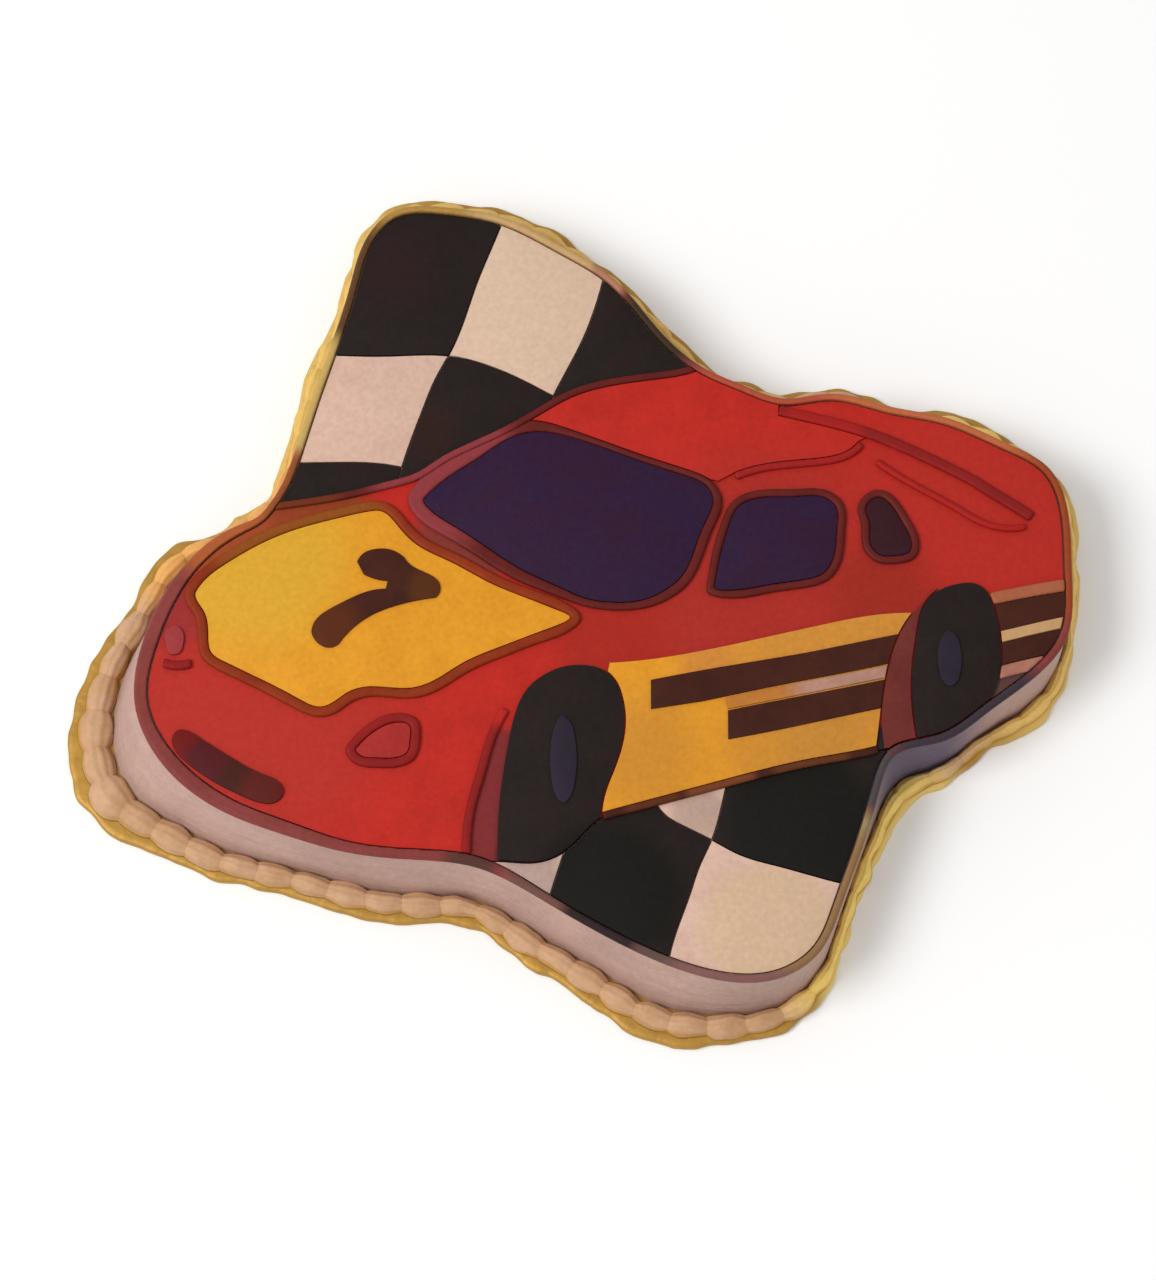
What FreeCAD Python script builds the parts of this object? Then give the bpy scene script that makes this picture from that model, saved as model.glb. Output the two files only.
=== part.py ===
# Iced novelty cake cut to the outline of a stock car in front of a wavy
# checkered flag, standing on a foil covered board. Millimetres, +Z up, the
# nose of the pictured car towards -X and the viewer's side towards -Y.
# Stack: board, sponge block, icing coat over it, piped border at the foot,
# then the picture: a first layer of flat icing, a second one with the parts
# of the car, a third one with the small markings.
import math
import os

import FreeCAD
import Part

os.makedirs("parts", exist_ok=True)
V = FreeCAD.Vector

BOARD_THICK = 3.0
SPONGE_TALL = 24.0
COAT_TOP_THICK = 4.0
COAT_SIDE_THICK = 8.0
SPONGE_GAP = 0.3
LAYER_ONE = 2.0
LAYER_TWO = 1.2
LAYER_THREE = 0.8
PIPED_TALL = 1.6
GROOVE = 0.6
RIM_WIDE = 2.4
RIM_OUT = 0.6
RIM_TALL = 3.2
BORDER_TALL = 9.0
SNUG = 6.0
LEAN_SHARE = 0.5
BORDER_SHARE = 0.72
OVERRUN = 1.0

# Sections of the piped border and of the outline: share of the height, step outwards.
BORDER_SECTION = [(0.0, -0.6), (0.3, 0.0), (0.7, -1.0)]
BORDER_LIP = 1.0
RIM_SECTION = [(0.0, 0.0), (0.4, RIM_OUT), (1.0, -0.4)]

Z_BOARD = BOARD_THICK
Z_SPONGE = Z_BOARD + SPONGE_TALL
Z_COAT = Z_SPONGE + COAT_TOP_THICK
Z_ONE = Z_COAT + LAYER_ONE
Z_TWO = Z_ONE + LAYER_TWO
Z_THREE = Z_TWO + LAYER_THREE

# Edge of the picture seen from above, clockwise, with the reach of the board
# beyond it at that place and how much bolder the piped outline is there.
EDGE = [
    (-120, 29, 17.3, 0), (-112, 42, 11, 0), (-106, 61, 9, 0), (-96, 94, 11, 0), (-88, 121, 8, 0),
    (-81, 144, 9, 0), (-72, 154, 15.5, 0), (-51, 156, 17, 0), (-30, 152, 17, 0), (-5, 139, 15, 0),
    (13, 127, 11.5, 0), (32, 104, 14, 0), (50, 88, 13, 0), (65, 81, 14.6, 0), (79, 76, 15.6, 0),
    (98, 78, 16, 0), (119, 73, 14, 0), (142, 68, 15.2, 0), (164, 58, 14.2, 0), (181, 47, 10, 0),
    (187.5, 28, 7.5, 0), (188, 6, 6, 0), (185, -21.5, 5.8, 0), (171, -38, 10.2, 0), (154, -51, 6.6, 0),
    (137, -62, 9, 0), (120, -67, 13.5, 0), (113, -82, 9.6, 0), (106, -105, 6, 0), (98, -127, 6, 0),
    (90, -144, 8.6, 0), (75, -154, 13.4, 0), (55, -155, 18, 0), (34, -149, 23, 0), (13, -139, 19, 0),
    (-14, -123, 18, 0), (-38, -111, 15.5, 1), (-62, -108, 17.8, 0.8), (-87, -105, 15.5, 1),
    (-109, -98.5, 15.5, 2), (-131, -90, 19.8, 2.4), (-147, -79.5, 23, 2.8), (-157.5, -68, 32, 2.6),
    (-166.5, -46, 28.5, 2), (-164.5, -24.5, 22.5, 2.6), (-157, -4.5, 17.5, 2.4),
    (-142.5, 15, 18.5, 1.6), (-129, 24, 14, 0.8),
]


def outward(points, steps, closed=True):
    """Points moved to the left of their run, each by its own step."""
    moved = []
    last = len(points) - 1
    for i, (x, y) in enumerate(points):
        before = points[i - 1] if closed or i > 0 else points[i]
        after = points[(i + 1) % len(points)] if closed or i < last else points[i]
        along = math.hypot(after[0] - before[0], after[1] - before[1])
        nx = -(after[1] - before[1]) / along
        ny = (after[0] - before[0]) / along
        moved.append((x + nx * steps[i], y + ny * steps[i]))
    return moved


def loop_wire(points, z):
    curve = Part.BSplineCurve()
    curve.interpolate([V(x, y, z) for x, y in points], True)
    return Part.Wire([curve.toShape()])


def prism(wire, height):
    return Part.Face(wire).extrude(V(0, 0, height))


def stack(sections):
    """Solid through closed curves at their own heights."""
    wires = [loop_wire(points, z) for points, z in sections]
    return Part.makeLoft(wires, True, False)


def edge_curve(step=0.0, lean=0.0, border=0.0, board=0.0, rim=0.0):
    """Picture edge moved out by a fixed step and by shares of the reach, or in past the outline."""
    steps = []
    for x, y, reach, bold in EDGE:
        wall = LEAN_SHARE * (reach - SNUG)
        foot = reach - wall
        out = step + lean * wall + border * BORDER_SHARE * foot + board * foot
        steps.append(out - rim * (RIM_WIDE + bold))
    return outward([(x, y) for x, y, reach, bold in EDGE], steps)


def run(points, z):
    if len(points) == 2:
        return Part.makeLine(V(points[0][0], points[0][1], z), V(points[1][0], points[1][1], z))
    curve = Part.BSplineCurve()
    curve.interpolate([V(x, y, z) for x, y in points])
    return curve.toShape()


def patch(runs, z, height):
    """Flat icing inside a chain of runs; each run starts where the last ended."""
    edges = []
    start = runs[-1][-1]
    for points in runs:
        edges.append(run([start] + points, z))
        start = points[-1]
    return prism(Part.Wire(edges), height)


def blob(points, z, height):
    return prism(loop_wire(points, z), height)


def cutter(points, z, height):
    """Blob that passes both faces of what it cuts."""
    return blob(points, z - OVERRUN, height + 2 * OVERRUN)


def grown(points, step):
    """Clockwise closed curve made larger by one step."""
    return outward(points, [step] * len(points))


def beside(points, step):
    """Open run moved to its left by one step."""
    return outward(points, [step] * len(points), False)


def ring(points, wides, z, height):
    """Piped line laid round a clockwise closed curve, with its width at each point."""
    inner = grown(points, GROOVE)
    return blob(outward(inner, wides), z, height).cut(cutter(inner, z, height))


def piped(points, wide, z, height):
    """Piped line of one width along an open run."""
    left = beside(points, wide / 2)
    right = beside(points, -wide / 2)
    right.reverse()
    return patch([left[1:], [right[0]], right[1:], [left[0]]], z, height)


def holding(solid, spots):
    """The separate solids of a cut shape that lie under the given spots."""
    found = []
    for x, y in spots:
        for piece in solid.Solids:
            middle = (piece.BoundBox.ZMin + piece.BoundBox.ZMax) / 2
            if piece.isInside(V(x, y, middle), 0.01, False):
                found.append(piece)
                break
    return Part.makeCompound(found)


def save(name, shape):
    shape.exportStep("parts/" + name + ".step")


# Board, cake, icing coat and the piped lines round it.
def cake_board():
    return prism(loop_wire(edge_curve(lean=1, board=1), 0), BOARD_THICK)


def sponge_block():
    return prism(loop_wire(edge_curve(-COAT_SIDE_THICK), Z_BOARD), SPONGE_TALL)


def coat_block(grow=0.0):
    return stack([(edge_curve(grow, lean=1), Z_BOARD), (edge_curve(grow), Z_COAT)])


def icing_coat():
    hollow = prism(loop_wire(edge_curve(SPONGE_GAP - COAT_SIDE_THICK), Z_BOARD), SPONGE_TALL)
    return coat_block().cut(hollow)


def base_border():
    sections = [(edge_curve(step, lean=1, border=1), Z_BOARD + share * BORDER_TALL)
                for share, step in BORDER_SECTION]
    sections.append((edge_curve(BORDER_LIP, lean=1), Z_BOARD + BORDER_TALL))
    return stack(sections).cut(coat_block(SPONGE_GAP))


def edge_outline():
    outer = stack([(edge_curve(step), Z_COAT + share * RIM_TALL) for share, step in RIM_SECTION])
    inner = cutter(edge_curve(rim=1), Z_COAT, RIM_TALL)
    return outer.cut(inner)


# First layer: the flag behind and below the car, and the car's red icing.
CAR_BACK = [(-126, 30), (-106, 33), (-89, 36), (-70, 41), (-61, 44), (-52, 50), (-37, 58), (-29, 62),
            (-22, 66), (-14, 71), (-6, 76), (3, 80), (15, 83), (28, 85), (44, 88), (56, 96)]
SILL_FOOT = [(113, -66), (107, -67.5), (91, -70.5), (61, -77.8), (46, -82), (27, -87.3), (10, -92)]
CAR_FRONT = [(142, -63), (127, -65.5)] + SILL_FOOT + [(-5, -106), (-16, -110), (-27, -109.5), (-35, -110),
             (-44, -117)]
UPPER_COLUMN_ONE = [(-26, 160), (-32, 142), (-38.5, 125), (-44.5, 106), (-49, 95), (-54.6, 84), (-58.4, 74),
                    (-62.6, 62), (-67, 48), (-69.5, 38)]
UPPER_COLUMN_TWO = [(12, 134), (8, 117), (2, 100), (-9, 77.3), (-12, 70)]
UPPER_ROW_ONE = [(-104, 95), (-96, 94.5), (-72, 94), (-49, 94), (-33, 89.6), (-22, 84.6), (-9, 77.3)]
UPPER_ROW_TWO = [(-118, 51), (-108, 50), (-83, 50), (-67, 48)]
LOWER_COLUMN_ONE = [(-2, -98), (-8, -116), (-12, -130)]
LOWER_COLUMN_TWO = [(57.5, -74), (54.5, -87), (50.5, -101), (46, -111), (42, -123), (38, -134), (33, -156)]
LOWER_ROW_ONE = [(28, -78), (29.5, -86), (33, -91), (39, -95), (50.5, -101), (61, -106.8), (76, -111.4),
                 (91, -115.8), (108, -120)]
FAR = 60

# A place inside each square of the flag, by colour.
UPPER_DARK_AT = [(-66, 120), (-35, 75), (30, 92), (-95, 40)]
UPPER_PALE_AT = [(-8, 120), (-85, 70)]
LOWER_DARK_AT = [(10, -120), (85, -95)]
LOWER_PALE_AT = [(-16, -117), (70, -135), (46, -93)]


def picture():
    """Flat first layer inside the piped outline of the whole picture."""
    return prism(loop_wire(edge_curve(-GROOVE, rim=1), Z_COAT), LAYER_ONE)


def groove(points):
    return piped(points, GROOVE, Z_COAT - OVERRUN, LAYER_ONE + 2 * OVERRUN)


def flag_upper():
    start, end = CAR_BACK[0], CAR_BACK[-1]
    above = patch([CAR_BACK[1:], [(end[0], end[1] + FAR)], [(start[0] - FAR, end[1] + FAR)],
                   [(start[0] - FAR, start[1])], [start]], Z_COAT, LAYER_ONE)
    flag = picture().common(above).cut(groove(CAR_BACK))
    for points in (UPPER_COLUMN_ONE, UPPER_COLUMN_TWO, UPPER_ROW_ONE, UPPER_ROW_TWO):
        flag = flag.cut(groove(points))
    return flag


def flag_lower():
    start, end = CAR_FRONT[0], CAR_FRONT[-1]
    below = patch([CAR_FRONT[1:], [(end[0], end[1] - FAR)], [(start[0], end[1] - FAR)], [start]],
                  Z_COAT, LAYER_ONE)
    flag = picture().common(below).cut(groove(CAR_FRONT))
    for points in (LOWER_COLUMN_ONE, LOWER_COLUMN_TWO, LOWER_ROW_ONE):
        flag = flag.cut(groove(points))
    return flag


def car_base():
    """Red icing under the whole car."""
    body = picture().cut(groove(CAR_BACK)).cut(groove(CAR_FRONT))
    return holding(body, [(0, 0)])


# Second layer: the parts of the car, each inside its own outline.
HOOD = [(-144.5, -3), (-141, 2), (-133, 8.5), (-120, 16.5), (-106, 22.5), (-90, 27), (-79, 29.5),
        (-74.5, 29.5), (-71, 27), (-67, 22), (-61, 16), (-48, 9), (-33, 0.5), (-18, -6), (-6.5, -10.8),
        (-2.6, -13.3), (-6.5, -16), (-14, -19), (-29, -25), (-44, -32), (-54, -38.5), (-62, -41.3),
        (-80, -41), (-87, -43.5), (-92.5, -47.5), (-96, -48.8), (-105, -45.6), (-119, -38), (-133, -31),
        (-138, -27.5), (-139.5, -20), (-141.5, -10.5), (-144.3, -6)]
HOOD_LINE_WIDE = 3.2
CAR_BACK_LINE_WIDE = 2.2
WINDSHIELD = [(-58, 35, 5.5), (-52, 41, 6), (-44, 47, 6), (-36.5, 52, 6), (-29, 57.5, 5.5), (-21, 61.2, 4.5),
              (-14, 62, 3.5), (-5, 60.4, 2.4), (9, 55.8, 1.8), (24, 50, 1.8), (43, 43.4, 1.8), (49.5, 39.8, 2),
              (51.8, 35, 2.8), (48.3, 24, 3), (44, 12, 3), (39.5, 3, 3), (34, -1.8, 3), (26, -5.8, 2.6),
              (13, -7, 2.4), (4, -5.6, 2.4), (-6, -1.2, 3), (-21.5, 6.5, 4), (-36, 16.5, 4.4), (-44, 22, 4.6),
              (-51, 26.5, 4.8), (-56, 30.5, 5)]
DOOR_WINDOW = [(52.4, -0.4), (54.4, 10), (58.6, 25), (62, 31.5), (68, 34.6), (84, 35.4), (94, 35.2), (98.4, 32),
               (99, 22), (97.6, 11), (93.6, 4.6), (87, 2.2), (73, 0), (58.2, -2.2)]
QUARTER_WINDOW = [(111, 28), (112, 33.5), (115.5, 35.2), (119.4, 32.6), (124, 25), (127.2, 17.5), (126.6, 13.4),
                  (121.5, 11.8), (115.5, 12.2), (112.4, 15.5)]
WINDOW_LINE_WIDE = 2.4
DRIP_RAIL = [(61, 44), (70, 47), (81, 48.7), (94, 50), (103, 52.3), (109, 57)]
DRIP_RAIL_WIDE = 2.2
SPOILER_BACK = [(78, 71), (85, 69.3), (98, 66), (111, 62), (123, 57), (134, 51.7), (143, 47), (153, 41.3),
                (160, 36.5), (167, 32), (173.5, 27.5)]
SPOILER_BACK_WIDE = 3.6
SPOILER_FRONT = [(171, 23.5), (162, 23), (154, 25.5), (145, 31), (134, 37.5), (124, 43.5), (115, 50)]
SPOILER_FRONT_WIDE = 2.0
ROOF_FAR = [(-12, 76), (9, 84), (46, 92)]
ROOF_BACK_CORNER = (78, 92)
ROOF_FRONT_CORNER = (54, 42)
ROOF_FRONT = [(25, 50), (-22, 62)]
FRONT_TYRE = [(-29, -114), (-29.5, -98), (-28.5, -82), (-26.5, -68), (-24.5, -57), (-22, -48), (-18, -41),
              (-12, -36), (-5, -33), (3, -32.4), (9, -33.8), (14, -38), (17, -45.5), (18, -54), (17, -63),
              (14, -73), (10.5, -82.5), (9, -92), (9, -104), (4, -116), (-12, -120)]
FRONT_ARCH = [(-27.2, -50), (-29.4, -54.5), (-32.5, -62), (-35.2, -72), (-38, -82), (-40.3, -92), (-41.2, -102),
              (-41.2, -112)]
FRONT_ARCH_WIDE = 2.8
SILL_LINE_WIDE = 2.2
SILL_TOP = [(32, -29.5), (62, -23.5), (92, -16.5), (112, -12.5), (127, -11.5)]
SILL_END = [(115, -64), (114.5, -50), (116.5, -37), (120, -24), (127, -11.5)]
SILL_CORNER = (12.5, -31.5)
SILL_INSIDE_TYRE = (6, -62)
REAR_TYRE = [(129, -66), (127, -52), (126.6, -42), (127.4, -30), (129.3, -18), (132, -8.5), (137.6, -2.5),
             (145, 0.2), (151, 0.4), (155.5, -2.5), (158.4, -10), (160.2, -20), (160.4, -30),
             (159.3, -38), (156, -46), (152, -53), (147, -62), (138, -70)]
REAR_ARCH_TIP = (136.5, -1.5)
REAR_ARCH_FOOT = [(140, -30), (140, -72), (115, -72)]
GRILLE = [(-151.8, -60), (-149.5, -58), (-146, -58.7), (-140.8, -62), (-133.2, -66.9), (-125.6, -71.7),
          (-118, -75.5), (-112, -78.5), (-110, -82), (-112.5, -86.3), (-119, -86.5), (-127.5, -83),
          (-136, -78.5), (-142.7, -74), (-148.7, -68.9), (-151.8, -64.5)]
HEADLIGHT = [(-82.8, -65.5), (-79, -61.3), (-73.7, -57.3), (-67.7, -55.3), (-63.4, -56.2), (-62.8, -62),
             (-64, -67), (-68.8, -69), (-76.4, -69), (-81.3, -68)]
HEADLIGHT_LINE_WIDE = 3.0
FAR_HEADLIGHT = [(-156, -22), (-155, -18), (-152, -16.5), (-149.3, -19), (-149, -24), (-150.5, -27.5),
                 (-153.5, -28)]
FAR_HEADLIGHT_FOOT = [(-156, -31.5), (-151, -32.5), (-146, -31.5)]
TAIL_LINE_WIDE = 4.2
TAIL_YELLOW = [(154, -6.6), (175.5, -2), (196, 1.2)]
TAIL_CREAM = [(154, -23), (175.5, -17.5), (196, -13)]
TAIL_PINK = [(154, -37), (175.5, -31.3), (194, -27.5)]

# Third layer: the small markings, each inside the piece under it.
SEVEN = [[(-82, 11.5), (-77, 14)], [(-70, 13.5), (-65.5, 10.5)], [(-61.5, 6.5), (-56, 3.8), (-52.5, 1)],
         [(-51.8, -2.5), (-53.5, -5.5)], [(-63, -7.2), (-70, -9.2), (-77.5, -12.4), (-83.5, -16.6),
         (-90, -24)], [(-94.5, -25.5), (-98.8, -22.8), (-100.5, -19)], [(-98, -13.4), (-93, -9.7),
         (-87, -6.4), (-81, -3.6), (-72.5, -2)], [(-71.8, 1.2)], [(-76.5, 2), (-81, 4)], [(-83.5, 9)]]
FRONT_HUB = (-5, -70, 5, 17)
REAR_HUB = (141, -30, 4.5, 11)
STRIPE_UPPER_FOOT = [(56, -45), (77, -40.4), (96, -36.6), (124, -30.4)]
STRIPE_UPPER = [[(28, -50)], [(47, -47)], STRIPE_UPPER_FOOT, [(128, -19)],
                [(104, -24), (85, -28), (62, -32), (43, -35.5), (28, -38.5)]]
STRIPE_LOWER_TOP = [(122, -37), (96, -42.6), (77, -46.4), (57, -50.6)]
STRIPE_LOWER = [[(57, -62)], [(77, -58), (95, -54), (120, -48.5)], [STRIPE_LOWER_TOP[0]],
                STRIPE_LOWER_TOP[1:]]


def within(shape, under, rise):
    """Keeps a piece inside the outline of the one that it lies on."""
    return shape.common(under.translated(V(0, 0, rise)))


def clear_of(shape, points):
    """Leaves a groove between a second layer piece and a closed curve."""
    return shape.cut(cutter(grown(points, GROOVE), Z_ONE, PIPED_TALL))


def flat(points):
    return blob(points, Z_ONE, LAYER_TWO)


def line_round(points, wide):
    return ring(points, [wide] * len(points), Z_ONE, PIPED_TALL)


def line_along(points, wide):
    return piped(points, wide, Z_ONE, PIPED_TALL)


def marking(runs):
    return patch(runs, Z_TWO, LAYER_THREE)


def hub(x, y, half_wide, half_deep):
    """Flat oval dab on a tyre."""
    oval = []
    for turn in range(12):
        angle = turn * math.pi / 6
        oval.append((x + half_wide * math.sin(angle), y + half_deep * math.cos(angle)))
    return blob(oval, Z_TWO, LAYER_THREE)


def windshield_pane():
    return flat([(x, y) for x, y, wide in WINDSHIELD])


def windshield_frame():
    points = [(x, y) for x, y, wide in WINDSHIELD]
    wides = [wide for x, y, wide in WINDSHIELD]
    return ring(points, wides, Z_ONE, PIPED_TALL)


def car_back_line():
    """Piped line between the car and the flag behind it."""
    return line_along(CAR_BACK, CAR_BACK_LINE_WIDE).common(picture().translated(V(0, 0, LAYER_ONE)))


def off_back_line(shape):
    """Leaves a groove between a second layer piece and the line behind the car."""
    wide = CAR_BACK_LINE_WIDE + 2 * GROOVE
    return shape.cut(piped(CAR_BACK, wide, Z_ONE - OVERRUN, PIPED_TALL + 2 * OVERRUN))


def roof_panel():
    points = [(x, y) for x, y, wide in WINDSHIELD]
    framed = outward(points, [wide + 2 * GROOVE for x, y, wide in WINDSHIELD])
    back = beside(SPOILER_BACK[:4], -SPOILER_BACK_WIDE / 2 - GROOVE)
    side = beside(DRIP_RAIL, DRIP_RAIL_WIDE / 2 + GROOVE)
    side.reverse()
    roof = patch([ROOF_FAR, [ROOF_BACK_CORNER], [back[0]], back[1:], [side[0]], side[1:],
                  [ROOF_FRONT_CORNER], ROOF_FRONT], Z_ONE, LAYER_TWO)
    return roof.cut(cutter(framed, Z_ONE, LAYER_TWO))


def side_window_panes():
    return Part.makeCompound([flat(DOOR_WINDOW), flat(QUARTER_WINDOW)])


def side_window_frames():
    door = line_round(DOOR_WINDOW, WINDOW_LINE_WIDE)
    quarter = line_round(QUARTER_WINDOW, WINDOW_LINE_WIDE)
    return Part.makeCompound([door, quarter])


def rear_spoiler():
    back = line_along(SPOILER_BACK, SPOILER_BACK_WIDE)
    front = line_along(SPOILER_FRONT, SPOILER_FRONT_WIDE)
    return Part.makeCompound([back, front])


def sill_panel():
    foot = beside(SILL_FOOT, -SILL_LINE_WIDE / 2 - GROOVE)
    end = SILL_END[1:-1]
    end.reverse()
    field = patch([SILL_TOP, end + [foot[0]], foot[1:], [SILL_INSIDE_TYRE], [SILL_CORNER]], Z_ONE, LAYER_TWO)
    return clear_of(field, FRONT_TYRE)


def sill_stripe_pale():
    """Fills the room between the upper and the lower stripe."""
    top = beside(STRIPE_UPPER_FOOT, -GROOVE)
    bottom = beside(STRIPE_LOWER_TOP, -GROOVE)
    return marking([top[1:], [bottom[0]], bottom[1:], [top[0]]])


def sill_foot_line():
    return clear_of(line_along(SILL_FOOT, SILL_LINE_WIDE), FRONT_TYRE)


def rear_arch():
    front = beside(SILL_END, -GROOVE)
    corners = [[corner] for corner in [REAR_ARCH_TIP] + REAR_ARCH_FOOT]
    return clear_of(patch([front[1:]] + corners + [[front[0]]], Z_ONE, LAYER_TWO), REAR_TYRE)


def headlight_rings():
    near = line_round(HEADLIGHT, HEADLIGHT_LINE_WIDE)
    far = line_along(FAR_HEADLIGHT_FOOT, HEADLIGHT_LINE_WIDE)
    return Part.makeCompound([near, far])


def headlight_lenses():
    return Part.makeCompound([flat(HEADLIGHT), flat(FAR_HEADLIGHT)])


def tail_band():
    top = beside(TAIL_YELLOW, -TAIL_LINE_WIDE / 2 - GROOVE)
    bottom = beside(TAIL_PINK, TAIL_LINE_WIDE / 2 + GROOVE)
    bottom.reverse()
    return clear_of(patch([top[1:], [bottom[0]], bottom[1:], [top[0]]], Z_ONE, LAYER_TWO), REAR_TYRE)


def tail_line(points):
    return clear_of(line_along(points, TAIL_LINE_WIDE), REAR_TYRE)


# Saved pieces.
save("cake_board", cake_board())
save("sponge_block", sponge_block())
save("icing_coat", icing_coat())
save("base_border", base_border())
save("edge_outline", edge_outline())

upper = flag_upper()
save("flag_upper_dark", holding(upper, UPPER_DARK_AT))
save("flag_upper_pale", holding(upper, UPPER_PALE_AT))
lower = flag_lower()
save("flag_lower_dark", holding(lower, LOWER_DARK_AT))
save("flag_lower_pale", holding(lower, LOWER_PALE_AT))
car = car_base()
save("car_base", car)

hood = flat(HOOD)
save("hood_panel", hood)
save("hood_outline", within(line_round(HOOD, HOOD_LINE_WIDE), car, LAYER_ONE))
save("hood_numeral", within(marking(SEVEN), hood, LAYER_TWO))
save("car_back_line", car_back_line())
save("roof_panel", off_back_line(within(roof_panel(), car, LAYER_ONE)))
save("windshield_pane", windshield_pane())
save("windshield_frame", off_back_line(within(windshield_frame(), car, LAYER_ONE)))
save("side_window_panes", side_window_panes())
save("side_window_frames", side_window_frames())
save("drip_rail", line_along(DRIP_RAIL, DRIP_RAIL_WIDE))
save("rear_spoiler", within(rear_spoiler(), car, LAYER_ONE))

sill = within(sill_panel(), car, LAYER_ONE)
save("sill_panel", sill)
save("sill_foot_line", sill_foot_line())
save("sill_stripe_upper", within(marking(STRIPE_UPPER), sill, LAYER_TWO))
save("sill_stripe_lower", within(marking(STRIPE_LOWER), sill, LAYER_TWO))
save("sill_stripe_pale", within(sill_stripe_pale(), sill, LAYER_TWO))

save("front_tyre", within(flat(FRONT_TYRE), car, LAYER_ONE))
save("front_hub", hub(*FRONT_HUB))
save("front_arch", within(line_along(FRONT_ARCH, FRONT_ARCH_WIDE), car, LAYER_ONE))
save("rear_tyre", within(flat(REAR_TYRE), car, LAYER_ONE))
save("rear_hub", hub(*REAR_HUB))
save("rear_arch", within(rear_arch(), car, LAYER_ONE))

save("grille_slot", within(flat(GRILLE), car, LAYER_ONE))
save("headlight_rings", headlight_rings())
save("headlight_lenses", within(headlight_lenses(), car, LAYER_ONE))

band = within(tail_band(), car, LAYER_ONE)
save("tail_band", band)
save("tail_line_cream", within(piped(TAIL_CREAM, TAIL_LINE_WIDE, Z_TWO, LAYER_THREE), band, LAYER_TWO))
save("tail_line_pink", within(tail_line(TAIL_PINK), car, LAYER_ONE))
save("tail_line_yellow", within(tail_line(TAIL_YELLOW), car, LAYER_ONE))
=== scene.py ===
import math

import bmesh
import bpy
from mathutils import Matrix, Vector, noise


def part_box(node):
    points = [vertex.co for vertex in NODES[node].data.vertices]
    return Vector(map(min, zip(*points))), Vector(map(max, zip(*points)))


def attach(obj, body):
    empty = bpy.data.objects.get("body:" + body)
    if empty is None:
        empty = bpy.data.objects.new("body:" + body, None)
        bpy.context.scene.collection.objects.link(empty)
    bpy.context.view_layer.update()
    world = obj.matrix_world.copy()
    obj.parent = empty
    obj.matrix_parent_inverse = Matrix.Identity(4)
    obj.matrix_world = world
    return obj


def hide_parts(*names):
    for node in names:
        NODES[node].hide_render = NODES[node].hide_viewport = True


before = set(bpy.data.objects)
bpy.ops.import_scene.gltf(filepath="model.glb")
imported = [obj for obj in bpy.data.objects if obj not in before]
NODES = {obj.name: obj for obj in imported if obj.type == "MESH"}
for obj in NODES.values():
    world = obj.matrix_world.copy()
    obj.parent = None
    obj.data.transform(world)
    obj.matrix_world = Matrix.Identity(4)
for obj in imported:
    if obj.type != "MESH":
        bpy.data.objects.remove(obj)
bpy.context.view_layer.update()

# Cake board: stiff cardboard cut to the picture's outline and wrapped in thin
# gold foil. The foil turns round the cut edge, and because the edge is curved
# it gathers there in small pleats that run a few millimetres in over the top.
FOIL_STEP = 0.0011
FOIL_ROWS = [0.0, 0.0010, 0.0022, 0.0036, 0.0052, 0.0072, 0.0096, 0.0124, 0.0160]
EDGE_ROUND = 0.0009
EDGE_FALL = 0.35
EDGE_FALL_LONG = 0.001
EDGE_SET_IN = 0.3
PLEAT_DEEP = 0.00045
PLEAT_LONG = 0.0042
PLEAT_MEAN = 0.55
PLEAT_VARIES = 0.45
PLEATS_PER_METRE = 420
FINE_PLEATS_PER_METRE = 1100
FINE_PLEAT_SHARE = 0.6
WANDER = 0.0017
WANDER_LONG = 0.011
WANDER_MEAN = 0.4
WANDER_VARIES = 1.3
WANDER_SHARE = 0.55
FOIL_EMBOSS = 0.0035
FOIL_CREASE = 0.006
FOIL_RELIEF = 0.0004
# Places where the foil is lighter: on the right of the lower flag and at the rear this is painted light where
# the cake's shadow falls; at the far left it is a lighter, yellower tone.
FOIL_PAINTED_LIGHT_AND_TONE = (("#f0cf78", 125, -115, 42, 20), ("#e2bc68", 190, -5, 40, 30), ("#dcb564", -100, 100, 60, 30))
SAME_PLACE = 2e-6
SAME_LEVEL = 1e-5
SHARP_TURN = 0.6


def linear(code):
    """An sRGB hex colour as linear RGBA."""
    parts = [int(code[i:i + 2], 16) / 255 for i in (1, 3, 5)]
    return tuple(c / 12.92 if c <= 0.04045 else ((c + 0.055) / 1.055) ** 2.4 for c in parts) + (1.0,)


def add(tree, kind, sockets=None, **settings):
    """Adds one node. A socket takes a plain value or another node's output."""
    made = tree.nodes.new(kind)
    for name, value in settings.items():
        setattr(made, name, value)
    for name, value in (sockets or {}).items():
        if isinstance(value, bpy.types.NodeSocket):
            tree.links.new(value, made.inputs[name])
        else:
            made.inputs[name].default_value = value
    return made


def new_finish(name):
    """A new material, its tree, its shader and the Object coordinates in it."""
    material = bpy.data.materials.new(name)
    material.use_nodes = True
    tree = material.node_tree
    where = add(tree, "ShaderNodeTexCoord").outputs["Object"]
    return material, tree, tree.nodes["Principled BSDF"], where


def linked(name, data):
    """A new object in the scene that holds a mesh, a lamp or a camera."""
    made = bpy.data.objects.new(name, data)
    bpy.context.scene.collection.objects.link(made)
    return made


def new_piece(name, mesh, material, slot, *stands_for):
    """Puts a finished mesh in the scene as a piece of the cake."""
    piece = linked(name, mesh)
    mesh.materials.clear()
    mesh.materials.append(material)
    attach(piece, "root")
    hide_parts(*stands_for)


def as_mesh(made, name):
    """A bmesh as a smooth shaded mesh; the bmesh is freed."""
    mesh = bpy.data.meshes.new(name)
    made.to_mesh(mesh)
    made.free()
    mesh.shade_smooth()
    return mesh


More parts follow.
